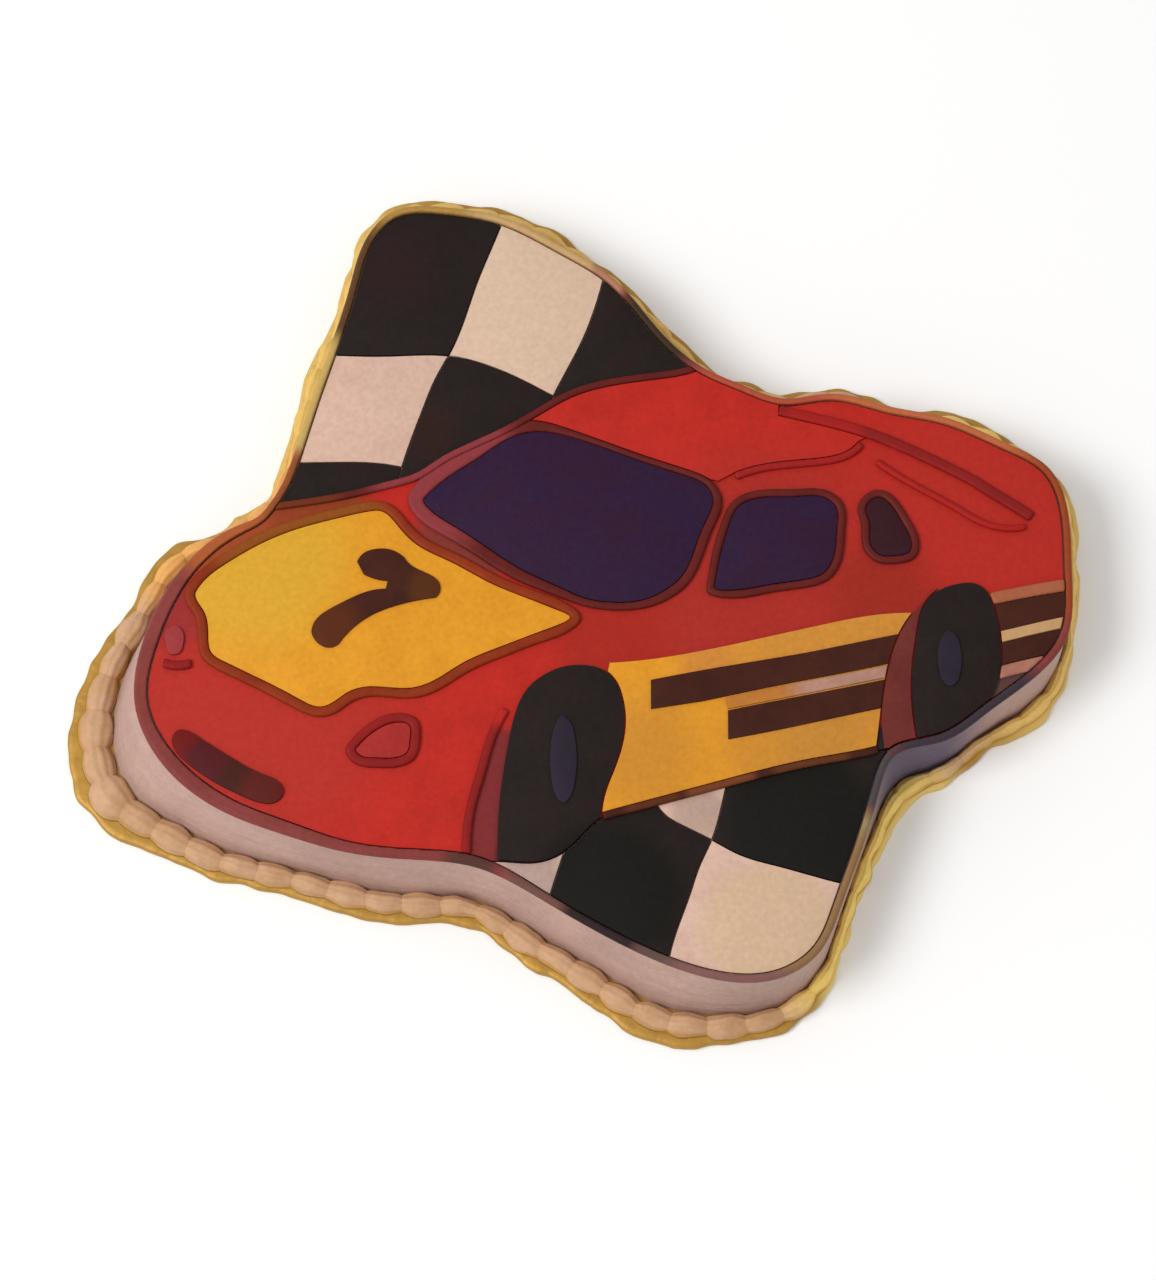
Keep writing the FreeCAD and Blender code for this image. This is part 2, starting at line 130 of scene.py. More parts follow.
def merged(node):
    """A copy of a node's mesh with its loose triangles joined."""
    made = bmesh.new()
    made.from_mesh(NODES[node].data)
    bmesh.ops.remove_doubles(made, verts=made.verts, dist=SAME_PLACE)
    return made


def outline_at(node, height):
    """The longest closed run of a node's sharp edges at one height, in order."""
    made = merged(node)
    joined = {}
    for edge in made.edges:
        a, b = edge.verts
        level = abs(a.co.z - height) < SAME_LEVEL and abs(b.co.z - height) < SAME_LEVEL
        if level and edge.calc_face_angle(0) > SHARP_TURN:
            joined.setdefault(a.index, []).append(b.index)
            joined.setdefault(b.index, []).append(a.index)
    places = {v.index: v.co.copy() for v in made.verts}
    made.free()
    best = []
    left = set(joined)
    while left:
        start = min(left)
        run = [start]
        left.discard(start)
        while True:
            onward = [i for i in joined[run[-1]] if i in left]
            if not onward:
                break
            run.append(onward[0])
            left.discard(onward[0])
        if len(run) > len(best):
            best = run
    points = [places[i] for i in best]
    area = sum(p.x * q.y - q.x * p.y for p, q in zip(points, points[1:] + points[:1]))
    return points if area > 0 else points[::-1]


def evenly(points, step):
    """A closed run taken again at even steps."""
    closed = points + points[:1]
    lengths = [(q - p).length for p, q in zip(closed, closed[1:])]
    count = round(sum(lengths) / step)
    spacing = sum(lengths) / count
    made = []
    walked = 0.0
    for p, q, length in zip(closed, closed[1:], lengths):
        while len(made) < count and len(made) * spacing <= walked + length:
            made.append(p.lerp(q, (len(made) * spacing - walked) / length))
        walked += length
    return made


def sideways(points, i):
    """Unit vector that points out of a counter-clockwise run at one place."""
    along = points[(i + 1) % len(points)] - points[i - 1]
    return Vector((along.y, -along.x, 0)).normalized()


def cut_edge(rim, out):
    """The board's edge as it was cut by hand: it wanders in, clear of the border."""
    border = outline_at("base_border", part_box("base_border")[0].z)
    made = []
    for p, n in zip(rim, out):
        free = min((q - p).length for q in border)
        inward = WANDER * max(0.0, WANDER_MEAN + WANDER_VARIES * noise.noise(p / WANDER_LONG))
        made.append(p - n * min(inward, WANDER_SHARE * free))
    return made


def pleat_drop(p, inward):
    """How far the foil lies below the board's top, beside one place of its edge."""
    ruffle = noise.noise(p * PLEATS_PER_METRE) + FINE_PLEAT_SHARE * noise.noise(p * FINE_PLEATS_PER_METRE)
    fade = math.exp(-inward / PLEAT_LONG)
    drop = PLEAT_DEEP * (PLEAT_MEAN + PLEAT_VARIES * ruffle) * fade
    return drop + EDGE_ROUND * EDGE_FALL * max(0.0, 1 - inward / EDGE_FALL_LONG)


def foil_board():
    low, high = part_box("cake_board")
    rim = evenly(outline_at("cake_board", high.z), FOIL_STEP)
    out = [sideways(rim, i) for i in range(len(rim))]
    rim = cut_edge(rim, out)
    made = bmesh.new()
    rows = [[made.verts.new((p.x, p.y, low.z)) for p in rim]]
    rows.append([made.verts.new((p.x, p.y, high.z - EDGE_ROUND)) for p in rim])
    for inward in FOIL_ROWS:
        ring = []
        for p, n in zip(rim, out):
            place = p - n * (inward + EDGE_ROUND * EDGE_SET_IN)
            ring.append(made.verts.new((place.x, place.y, high.z - pleat_drop(p, inward))))
        rows.append(ring)
    count = len(rim)
    for lower, upper in zip(rows, rows[1:]):
        for i in range(count):
            j = (i + 1) % count
            made.faces.new((lower[i], lower[j], upper[j], upper[i]))
    made.faces.new(rows[-1])
    made.faces.new(rows[0][::-1])
    return as_mesh(made, "foil_board")


def drawn_to(tree, where, centre, radius, soft):
    """One near a place on the picture and nought beyond it, with a soft edge."""
    flat = add(tree, "ShaderNodeVectorMath", {0: where, 1: (1, 1, 0)}, operation="MULTIPLY")
    apart = add(tree, "ShaderNodeVectorMath", {0: flat.outputs["Vector"], 1: centre},
                operation="DISTANCE")
    near = add(tree, "ShaderNodeMapRange", {"Value": apart.outputs["Value"], "From Min": radius + soft,
                                            "From Max": radius}, interpolation_type="SMOOTHSTEP")
    return near.outputs["Result"]


def shifted(tree, where, tone, places):
    """A colour that takes another shade near each of the places, which are a
    colour and then x, y, radius and soft edge in millimetres."""
    for shade, *sizes in places:
        x, y, radius, soft = (size / 1000 for size in sizes)
        near = drawn_to(tree, where, (x, y, 0), radius, soft)
        tone = add(tree, "ShaderNodeMix", {"Factor": near, "A": tone, "B": linear(shade)},
                   data_type="RGBA").outputs["Result"]
    return tone


def gold_foil():
    """Gold laminated foil on card: a warm metal, embossed and a little dull."""
    material, tree, shader, where = new_finish("gold_foil_card")
    wrinkle = add(tree, "ShaderNodeTexVoronoi", {"Vector": where, "Scale": 1 / FOIL_EMBOSS},
                  feature="DISTANCE_TO_EDGE")
    crease = add(tree, "ShaderNodeTexNoise", {"Vector": where, "Scale": 1 / FOIL_CREASE, "Detail": 4.0})
    tone = add(tree, "ShaderNodeMix", {"Factor": crease.outputs["Fac"], "A": linear("#9a7028"),
                                       "B": linear("#c2963f")}, data_type="RGBA").outputs["Result"]
    height = add(tree, "ShaderNodeMath", {0: wrinkle.outputs["Distance"], 1: crease.outputs["Fac"]},
                 operation="ADD")
    bump = add(tree, "ShaderNodeBump", {"Height": height.outputs["Value"], "Strength": 0.35,
                                        "Distance": FOIL_RELIEF})
    tree.links.new(shifted(tree, where, tone, FOIL_PAINTED_LIGHT_AND_TONE), shader.inputs["Base Color"])
    tree.links.new(bump.outputs["Normal"], shader.inputs["Normal"])
    shader.inputs["Metallic"].default_value = 0.4
    shader.inputs["Roughness"].default_value = 0.5
    return material


new_piece("foil_board", foil_board(), gold_foil(), "gold_foil", "cake_board")

# Sponge cake: baked sheet sponge with an open crumb. It is wholly inside the
# icing and never shows; it keeps the plain block with a crumb finish.
CRUMB_HOLE = 0.002
CRUMB_DEEP = 0.001


def crumb():
    """Baked sponge: golden, dull and full of small holes."""
    material, tree, shader, where = new_finish("baked_sponge_crumb")
    holes = add(tree, "ShaderNodeTexVoronoi", {"Vector": where, "Scale": 1 / CRUMB_HOLE})
    tone = add(tree, "ShaderNodeMix", {"Factor": holes.outputs["Distance"], "A": linear("#f0d08f"),
                                       "B": linear("#c98f4a")}, data_type="RGBA")
    bump = add(tree, "ShaderNodeBump", {"Height": holes.outputs["Distance"], "Strength": 0.6,
                                        "Distance": CRUMB_DEEP})
    tree.links.new(tone.outputs["Result"], shader.inputs["Base Color"])
    tree.links.new(bump.outputs["Normal"], shader.inputs["Normal"])
    shader.inputs["Roughness"].default_value = 0.9
    return material


def cover(node, material):
    """Gives a solid that stays as it is its finish."""
    NODES[node].data.materials.clear()
    NODES[node].data.materials.append(material)


cover("sponge_block", crumb())

# Icing coat: white sugar icing spread over the cake with a flat spatula, so
# the side has long level strokes. It sets with a soft, faintly greasy sheen.
# Its colour is set darker and greyer than white: painted shade for the side.
STROKE_TALL = 0.004
STROKE_LONG = 0.04
STROKE_DEEP = 0.0012
# A bluish grey patch on the side, in the hollow beside the rear tyre and the tail: painted shade.
WALL_PAINTED_SHADE = ("#655a6b", 130, -67, 9, 30)
SUGAR_GRAIN = 0.0007
GRAIN_DRAWN = 3 * SUGAR_GRAIN  # the real grain is too fine to show
GRAIN_DEEP = 0.0003


def icing(name, colour, pooled, blotch=0.016, mottle=0.06, shine=0.15, places=()):
    """Set sugar icing: even colour that pools darker here and there, with a
    fine sugar grain. The places shift the colour near given points: some
    where two icings met, some as painted light and shade."""
    material, tree, shader, where = new_finish(name)
    pools = add(tree, "ShaderNodeTexNoise", {"Vector": where, "Scale": 1 / blotch, "Detail": 3.0,
                                             "Roughness": 0.6})
    spread = add(tree, "ShaderNodeMapRange", {"Value": pools.outputs["Fac"], "From Min": 0.35,
                                              "From Max": 0.75})
    grain = add(tree, "ShaderNodeTexNoise", {"Vector": where, "Scale": 1 / GRAIN_DRAWN, "Detail": 2.0})
    tone = add(tree, "ShaderNodeMix", {"Factor": spread.outputs["Result"], "A": linear(colour),
                                       "B": linear(pooled)}, data_type="RGBA").outputs["Result"]
    tone = shifted(tree, where, tone, places)
    speck = add(tree, "ShaderNodeMapRange", {"Value": grain.outputs["Fac"], "From Min": 0.3, "From Max": 0.7,
                                             "To Min": 1 - mottle, "To Max": 1 + mottle})
    tinted = add(tree, "ShaderNodeVectorMath", {0: tone, "Scale": speck.outputs["Result"]}, operation="SCALE")
    dull = add(tree, "ShaderNodeMapRange", {"Value": pools.outputs["Fac"], "From Min": 0.3, "From Max": 0.7,
                                            "To Min": 0.46, "To Max": 0.62})
    bump = add(tree, "ShaderNodeBump", {"Height": grain.outputs["Fac"], "Strength": 0.2,
                                        "Distance": GRAIN_DEEP})
    tree.links.new(tinted.outputs["Vector"], shader.inputs["Base Color"])
    tree.links.new(dull.outputs["Result"], shader.inputs["Roughness"])
    tree.links.new(bump.outputs["Normal"], shader.inputs["Normal"])
    shader.inputs["IOR"].default_value = 1.45
    shader.inputs["Specular IOR Level"].default_value = shine
    return material


def spread_icing():
    """White icing, set darker as painted shade, with the level strokes of the spatula as a long bump."""
    material = icing("spread_white_icing_painted_shade", "#bb9a8e", "#ab8c82", blotch=0.03, places=(WALL_PAINTED_SHADE,))
    tree = material.node_tree
    shader = tree.nodes["Principled BSDF"]
    where = add(tree, "ShaderNodeTexCoord").outputs["Object"]
    stroke = (1 / STROKE_LONG, 1 / STROKE_LONG, 1 / STROKE_TALL)
    flat = add(tree, "ShaderNodeMapping", {"Vector": where, "Scale": stroke})
    strokes = add(tree, "ShaderNodeTexNoise", {"Vector": flat.outputs["Vector"], "Scale": 1.0, "Detail": 3.0})
    grain = shader.inputs["Normal"].links[0].from_socket
    bump = add(tree, "ShaderNodeBump", {"Height": strokes.outputs["Fac"], "Normal": grain, "Strength": 0.5,
                                        "Distance": STROKE_DEEP})
    tree.links.new(bump.outputs["Normal"], shader.inputs["Normal"])
    return material


cover("icing_coat", spread_icing())

# Border at the foot: a row of low shells in cream icing, squeezed from a star
# tipped bag one after another, each laid over the tail of the one before. The
# icing is cream on top and golden where it meets the foil.
SHELL_PITCH = 0.0142
SHELL_LONG = 0.0222
SHELL_WIDTHS = (0.78, 1.02)
SHELL_SEED = 7
SHELL_RIDGES = 5
SHELL_RIDGE_TALL = 0.045
SHELL_STATIONS = 13
POINTS_ON_RIDGE = 4
SHELL_NOSE = 0.10
SHELL_SPAN = 0.86
SHELL_ROUND = 0.62
SHELL_TAPER = 0.42
SHELL_HALF_WIDE = 0.56
SHELL_HIGH = 1.1
SHELL_TALL_SHARE = 0.70
SHELL_OVER_FOIL = 0.45
SHELL_ON_WALL = 0.14
SHELL_SOFT = 0.0009
SHELL_SOFT_UP = 0.5
SHELL_SOFT_LONG = 0.007
SOFT_SEED = 7
FOOT_STEP = 0.002
EASINGS = 4
GOLD_WANDER_LONG = 0.02
GOLD_BEGINS = 0.1
GOLD_IS_FULL = 0.7
# Places where the shells are golden and lighter, on the right, rear and far sides and at the nose: partly the
# icing's own golden tone, partly painted light where the lamp leaves them in shade.
SHELL_TONE_AND_PAINTED_LIGHT = (("#f6d272", 118, -118, 42, 22), ("#e8c06c", 185, 20, 66, 30), ("#d8b060", 0, 150, 90, 30),
                ("#d9b45e", -110, 90, 45, 30), ("#dfa45c", -135, 30, 30, 20))


def shell_mesh():
    """One shell, a unit wide, its fat end at the start and its tail along +X."""
    made = bmesh.new()
    around = POINTS_ON_RIDGE * SHELL_RIDGES
    rows = []
    for k in range(SHELL_STATIONS + 1):
        t = k / SHELL_STATIONS
        swell = math.sin(math.pi * min(1.0, t * SHELL_SPAN + SHELL_NOSE)) ** SHELL_ROUND
        fat = swell * (1 - SHELL_TAPER * t)
        row = []
        for s in range(around):
            angle = math.pi * s / (around - 1)
            reach = fat * (1 + SHELL_RIDGE_TALL * math.cos(2 * SHELL_RIDGES * angle))
            row.append(made.verts.new((t, SHELL_HALF_WIDE * reach * math.cos(angle),
                                       SHELL_HIGH * reach * math.sin(angle))))
        rows.append(row)
    for a, b in zip(rows, rows[1:]):
        for s in range(around - 1):
            made.faces.new((a[s], a[s + 1], b[s + 1], b[s]))
        made.faces.new((a[-1], a[0], b[0], b[-1]))
    made.faces.new(rows[0][::-1])
    made.faces.new(rows[-1])
    bmesh.ops.recalc_face_normals(made, faces=made.faces)
    return as_mesh(made, "shell_unit")


def eased(values):
    """A closed run of values or places, each drawn towards its neighbours."""
    for _ in range(EASINGS):
        values = [(values[i - 1] + 2 * v + values[(i + 1) % len(values)]) / 4 for i, v in enumerate(values)]
    return values


def border_line():
    """Middle of the border as a closed mesh line, with the border's width at each place."""
    foot = evenly(outline_at("icing_coat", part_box("icing_coat")[0].z), FOOT_STEP)
    outer = outline_at("base_border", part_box("base_border")[0].z)
    rim = outline_at("cake_board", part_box("cake_board")[1].z)
    inner = []
    edge = []
    for p in foot:
        q = min(outer, key=lambda o: (o - p).length_squared)
        r = min(rim, key=lambda o: (o - q).length_squared)
        inner.append(p.lerp(q, -SHELL_ON_WALL))
        edge.append(q.lerp(r, SHELL_OVER_FOIL))
    line = bpy.data.meshes.new("border_line")
    places = eased([(p + q) / 2 for p, q in zip(inner, edge)])
    widths = eased([(q - p).length for p, q in zip(inner, edge)])
    line.from_pydata(places, [(i, (i + 1) % len(places)) for i in range(len(places))], [])
    room = line.attributes.new("room", "FLOAT", "POINT")
    room.data.foreach_set("value", widths)
    return line


def shell_row_tree(material):
    """Shells laid in a straight row, which is then bent along a closed line,
    each as wide as the room that is stored there."""
    tree = bpy.data.node_groups.new("shell_row", "GeometryNodeTree")
    inputs = {"Geometry": "Geometry", "Shell": "Object", "Pitch": "Float", "Length": "Float", "Tall": "Float"}
    for name, kind in inputs.items():
        tree.interface.new_socket(name, in_out="INPUT", socket_type="NodeSocket" + kind)
    tree.interface.new_socket("Geometry", in_out="OUTPUT", socket_type="NodeSocketGeometry")
    given = add(tree, "NodeGroupInput").outputs
    curve = add(tree, "GeometryNodeMeshToCurve", {"Mesh": given["Geometry"]}).outputs["Curve"]
    total = add(tree, "GeometryNodeCurveLength", {"Curve": curve}).outputs["Length"]
    fitting = add(tree, "ShaderNodeMath", {0: total, 1: given["Pitch"]}, operation="DIVIDE")
    count = add(tree, "ShaderNodeMath", {0: fitting.outputs["Value"]}, operation="ROUND").outputs["Value"]
    spacing = add(tree, "ShaderNodeMath", {0: total, 1: count}, operation="DIVIDE")
    number = add(tree, "GeometryNodeInputIndex").outputs["Index"]
    start = add(tree, "ShaderNodeMath", {0: number, 1: spacing.outputs["Value"]}, operation="MULTIPLY")
    along = add(tree, "ShaderNodeCombineXYZ", {"X": start.outputs["Value"]})
    spots = add(tree, "GeometryNodePoints", {"Count": count, "Position": along.outputs["Vector"]})
    narrow, wide = SHELL_WIDTHS
    fat = add(tree, "FunctionNodeRandomValue", {2: narrow, 3: wide, "Seed": SHELL_SEED},
              data_type="FLOAT").outputs[1]
    size = add(tree, "ShaderNodeCombineXYZ", {"X": given["Length"], "Y": fat, "Z": given["Tall"]})
    shell = add(tree, "GeometryNodeObjectInfo", {"Object": given["Shell"]})
    laid = add(tree, "GeometryNodeInstanceOnPoints", {"Points": spots.outputs["Points"],
                                                      "Instance": shell.outputs["Geometry"],
                                                      "Scale": size.outputs["Vector"]})
    straight = add(tree, "GeometryNodeRealizeInstances", {"Geometry": laid.outputs["Instances"]})
    spot = add(tree, "GeometryNodeInputPosition").outputs["Position"]
    place = add(tree, "ShaderNodeSeparateXYZ", {"Vector": spot}).outputs
    walked = add(tree, "ShaderNodeMath", {0: place["X"], 1: total}, operation="FLOORED_MODULO")
    room = add(tree, "GeometryNodeInputNamedAttribute", {"Name": "room"}, data_type="FLOAT")
    there = add(tree, "GeometryNodeSampleCurve", {"Curves": curve, "Value": room.outputs["Attribute"],
                                                  "Length": walked.outputs["Value"]},
                mode="LENGTH", data_type="FLOAT").outputs
    out = add(tree, "ShaderNodeVectorMath", {0: there["Tangent"], 1: (0, 0, 1)}, operation="CROSS_PRODUCT")
    aside = add(tree, "ShaderNodeMath", {0: place["Y"], 1: there["Value"]}, operation="MULTIPLY")
    pushed = add(tree, "ShaderNodeVectorMath", {0: out.outputs["Vector"], "Scale": aside.outputs["Value"]},
                 operation="SCALE")
    lifted = add(tree, "ShaderNodeCombineXYZ", {"Z": place["Z"]})
    raised = add(tree, "ShaderNodeVectorMath", {0: pushed.outputs["Vector"], 1: lifted.outputs["Vector"]})
    moved = add(tree, "ShaderNodeVectorMath", {0: there["Position"], 1: raised.outputs["Vector"]})
    bent = add(tree, "GeometryNodeSetPosition", {"Geometry": straight.outputs["Geometry"],
                                                 "Position": moved.outputs["Vector"]})
    done = add(tree, "GeometryNodeSetMaterial", {"Geometry": bent.outputs["Geometry"], "Material": material})
    add(tree, "NodeGroupOutput", {"Geometry": done.outputs["Geometry"]})
    return tree


def worked(holder, name):
    """An object's mesh after its modifiers, as a plain mesh. The object goes."""
    bpy.context.view_layer.update()
    made = bpy.data.meshes.new_from_object(holder.evaluated_get(bpy.context.evaluated_depsgraph_get()))
    made.name = name
    bpy.data.objects.remove(holder)
    return made


def laid_along(line, tree, name, values):
    """Runs a node tree over a line and returns the result as a plain mesh."""
    holder = linked(name + "_holder", line)
    modifier = holder.modifiers.new("made", "NODES")
    modifier.node_group = tree
    for socket in tree.interface.items_tree:
        if socket.in_out == "INPUT" and socket.name in values:
            modifier[socket.identifier] = values[socket.name]
    return worked(holder, name)


def golden_foot(material, low, high):
    """Turns the icing golden and a little darker towards its foot, up to a height that wanders."""
    tree = material.node_tree
    shader = tree.nodes["Principled BSDF"]
    tall = high - low
    cream = shader.inputs["Base Color"].links[0].from_socket
    where = add(tree, "ShaderNodeTexCoord").outputs["Object"]
    level = add(tree, "ShaderNodeSeparateXYZ", {"Vector": where}).outputs["Z"]
    wander = add(tree, "ShaderNodeTexNoise", {"Vector": where, "Scale": 1 / GOLD_WANDER_LONG, "Detail": 2.0})
    lifted = add(tree, "ShaderNodeMath", {0: wander.outputs["Fac"], 1: -tall, 2: level},
                 operation="MULTIPLY_ADD")
    foot = add(tree, "ShaderNodeMapRange", {"Value": lifted.outputs["Value"],
                                            "From Min": low - GOLD_BEGINS * tall,
                                            "From Max": low - GOLD_IS_FULL * tall},
               interpolation_type="SMOOTHSTEP")
    mixed = add(tree, "ShaderNodeMix", {"Factor": foot.outputs["Result"], "A": cream, "B": linear("#c08e3c")},
                data_type="RGBA")
    tree.links.new(mixed.outputs["Result"], shader.inputs["Base Color"])


def softened(mesh):
    """Pushes a mesh about a little, as soft icing settles unevenly. The seed is
    set because noise_vector would otherwise change with each run."""
    noise.seed_set(SOFT_SEED)
    for v in mesh.vertices:
        push = noise.noise_vector(v.co / SHELL_SOFT_LONG) * SHELL_SOFT
        v.co += Vector((push.x, push.y, SHELL_SOFT_UP * push.z))
    return mesh


def shell_border(material):
    low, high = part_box("base_border")
    golden_foot(material, low.z, high.z)
    unit = linked("shell_unit", shell_mesh())
    row = laid_along(border_line(), shell_row_tree(material), "shell_border",
                     {"Shell": unit, "Pitch": SHELL_PITCH, "Length": SHELL_LONG,
                      "Tall": (high.z - low.z) * SHELL_TALL_SHARE})
    bpy.data.objects.remove(unit)
    return softened(row)


cream = icing("piped_cream_icing", "#c59c7a", "#b48b62", blotch=0.012, shine=0.22, places=SHELL_TONE_AND_PAINTED_LIGHT)
new_piece("shell_border", shell_border(cream), cream, "icing_cream", "base_border")

# Piped line round the picture: a plain round tip and thinned icing in maroon
# that turns browner beside the flag. It stands a little over the flat icing.
# Its places also hold painted light and shade: lighter and golden on the far
# and right edges, which the lamp leaves in shade, and darker in the hollow
# beside the tail and the rear tyre.
LINE_VOXEL = 0.00045
LINE_SWELL = 0.00035
LINE_SMOOTHINGS = 6
RIM_VOXEL = 0.0006
RIM_SWELL = 0.0
# Places on the line: browner beside the flag, painted light (lighter, golden) on the far and right edges, and
# painted shade (darker) beside the tail.
RIM_TONE_AND_PAINTED_LIGHT = (("#5a3c20", -88, 130, 32, 30), ("#a9803f", -45, 158, 26, 14), ("#bf9a68", -10, 144, 26, 12),
              ("#b99a58", -102, 78, 20, 10), ("#8a4a24", -116, 34, 14, 12), ("#a4562c", -134, 18, 12, 12),
              ("#3c2a1c", 32, 106, 12, 12), ("#a84a34", 80, 78, 28, 12), ("#b4623c", 140, 70, 34, 20),
              ("#93401f", 188, 20, 26, 20), ("#6a463e", -14, -124, 10, 10), ("#2c1c1e", 8, -137, 12, 8),
              ("#5a4440", 32, -149, 8, 8), ("#7c5450", 60, -157, 18, 16), ("#4a4246", 114, -78, 8, 8),
              ("#8f8458", 105, -106, 10, 10), ("#a9745a", 13, 127, 5, 6), ("#53302c", -40, -112, 6, 8),
              ("#8a6843", 98, -128, 24, 14), ("#3a3038", 148, -54, 24, 14))


def rounded_line(node, voxel, swell):
    """A piped line: the node's solid with its corners run soft, as icing sets,
    and swollen a little so that it meets the flat icing beside it."""
    holder = linked(node + "_holder", as_mesh(merged(node), node + "_soft"))
    remesh = holder.modifiers.new("remesh", "REMESH")
    remesh.mode = "VOXEL"
    remesh.voxel_size = voxel
    soften = holder.modifiers.new("soften", "SMOOTH")
    soften.factor = 0.5
    soften.iterations = LINE_SMOOTHINGS
    grow = holder.modifiers.new("grow", "DISPLACE")
    grow.strength = swell
    grow.mid_level = 0.0
    soft = worked(holder, node + "_line")
    soft.shade_smooth()
    return soft


def lay_line(node, material, slot, voxel=LINE_VOXEL, swell=LINE_SWELL):
    new_piece(node + "_line", rounded_line(node, voxel, swell), material, slot, node)


maroon = icing("piped_maroon_icing", "#843c38", "#77342f", blotch=0.02, places=RIM_TONE_AND_PAINTED_LIGHT)
lay_line("edge_outline", maroon, "icing_maroon", RIM_VOXEL, RIM_SWELL)

# First layer of the picture: flat icing let run to its line and set hard, in
# near black and ivory squares for the flag and in red under the whole car.
FLAG_SHOULDER = 0.0008
SHOULDER_STEPS = 3
SHOULDER_TURN = 0.8
FLAT_WITHIN = math.radians(1.0)
SHARP_FROM = math.radians(50)
BLACK_PLACES = (("#2b1914", -57, 62, 6, 10), ("#281819", -71, 130, 8, 16), ("#171411", 12, -122, 22, 10),
                ("#171411", 84, -96, 24, 10))
IVORY_PLACES = (
    ("#6a2f28", -42, -108, 7, 6),  # foot of the nose
    ("#cfb29a", -12, 122, 30, 30),  # top of the flag
    ("#af938a", -17, -115, 8, 8),  # below the front tyre
    ("#b29586", 46, -91, 7, 6),  # below the sill
    ("#cbab8e", 72, -136, 20, 10),  # near corner of the flag
)


def flooded(node, shoulder):
    """Flat icing: the node's solid with its upper edge run round."""
    made = merged(node)
    bmesh.ops.dissolve_limit(made, angle_limit=FLAT_WITHIN, verts=made.verts, edges=made.edges)
    top = max(v.co.z for v in made.verts)
    rim = [e for e in made.edges
           if all(abs(v.co.z - top) < SAME_LEVEL for v in e.verts) and e.calc_face_angle(0) > SHOULDER_TURN]
    bmesh.ops.bevel(made, geom=rim, offset=shoulder, segments=SHOULDER_STEPS, profile=0.5, affect="EDGES",
                    clamp_overlap=True)
    bmesh.ops.triangulate(made, faces=[f for f in made.faces if len(f.verts) > 4])
    mesh = as_mesh(made, node + "_flood")
    mesh.set_sharp_from_angle(angle=SHARP_FROM)
    return mesh


def lay_flat(node, material, slot, shoulder):
    new_piece(node + "_flood", flooded(node, shoulder), material, slot, node)


black = icing("set_black_icing", "#241b18", "#1e1715", mottle=0.10, shine=0.12, places=BLACK_PLACES)
ivory = icing("set_ivory_icing", "#d1af9d", "#c7a392", places=IVORY_PLACES)
for part in ("flag_upper_dark", "flag_lower_dark"):
    lay_flat(part, black, "icing_black", FLAG_SHOULDER)
for part in ("flag_upper_pale", "flag_lower_pale"):
    lay_flat(part, ivory, "icing_ivory", FLAG_SHOULDER)

# Red of the car: one flood of red icing under all its parts. Between the front
# tyre and the line round it lies a dull strip, in a chain of round places.
STRIP_SOFT = [6.0, 3.0, 2.0] + [1.6] * 7
STRIP_FIRST = 2
STRIP_REACH = 9
STRIP_STEP = 4.8
STRIP_TOP = -54
STRIP_SIDE = -32.9
STRIP_LEAN = 10.2
STRIP_BEND = 4.8
STRIP_PLACES = [("#7b2a2b", STRIP_SIDE + STRIP_LEAN * math.exp(-k / STRIP_BEND), STRIP_TOP - STRIP_STEP * k,
                 STRIP_REACH - soft, soft) for k, soft in enumerate(STRIP_SOFT, STRIP_FIRST)]
RED_PLACES = (
    ("#ad2c23", -125, -45, 40, 35),  # nose
    ("#a42b23", 75, -10, 40, 40),  # side
    ("#b02a22", 160, 20, 35, 40),  # rear
    ("#8e3d1f", -108, 36, 20, 14),  # far fender
    ("#9a4624", -132, 17, 12, 10),  # edge of the far fender
    ("#962c2b", -152, -10, 7, 12),  # round the far headlight
    ("#80342c", -45, 14, 12, 12),  # foot of the windshield
    # The dark place at the foot of the tail is painted shade, in the corner there.
    ("#5a3c38", 167, -41, 9, 8),  # foot of the tail
    *STRIP_PLACES,
    ("#2b2022", -8, -108, 20, 4),  # below the front tyre
    ("#2b2022", 116, -62, 4, 5),  # tip of the sill
    ("#a2261c", 12, -22, 10, 22),  # front of the side
    ("#98281d", 116, -4, 10, 20),  # rear of the side
)

red = icing("set_red_icing", "#b8281f", "#ab251c", shine=0.12, places=RED_PLACES)
lay_flat("car_base", red, "icing_red", FLAG_SHOULDER)

# Second layer: the parts of the car as thinner flat icing on the red, with
# piped lines between them in browner and deeper red.
CAR_SHOULDER = 0.0006
NAVY_PLACES = (("#33131b", 119, 24, 10, 6),)
HOOD_PLACES = (("#d09c2c", -125, 12, 22, 30),)
SILL_PLACES = (("#c28228", 24, -67, 8, 30), ("#c58432", 100, -30, 26, 30), ("#c68034", 50, -31, 4, 14),
               ("#c5842c", 74, -64, 8, 20), ("#bd8030", 92, -62, 10, 10))
SILL_FOOT_PLACES = (("#5c3016", 88, -71, 12, 5), ("#6e3a1e", 54, -80, 11, 5), ("#572a16", 28, -87, 8, 5))
GRILLE_PLACES = (("#68120f", -150, -63, 6, 8), ("#4f161a", -139, -70, 5, 6), ("#571a14", -116, -82, 7, 6))
NUMERAL_PLACES = (("#54260d", -95, -18, 6, 14), ("#50280c", -56, -2, 5, 6))
HOOD_LINE_PLACES = (("#884712", -108, 26, 26, 14),)
WINDSHIELD_LINE_PLACES = (("#863438", -50, 46, 22, 14), ("#6a2c14", -110, 32, 14, 10))
FAINT_LINE_PLACES = (("#961d19", 71, 46, 12, 4), ("#961d19", 97, 50.5, 12, 4), ("#9a1a16", 95, 66, 12, 6),
                     ("#a01c18", 118, 48, 7, 3), ("#a01c18", 129, 41, 7, 3), ("#a01c18", 141, 33.5, 7, 3),
                     ("#a01c18", 153, 26.5, 7, 3), ("#a01c18", 165, 22, 6, 2), ("#ab241d", -26.5, -48, 7, 5))
LENS_PLACES = (("#973538", -152, -22, 5, 3),)

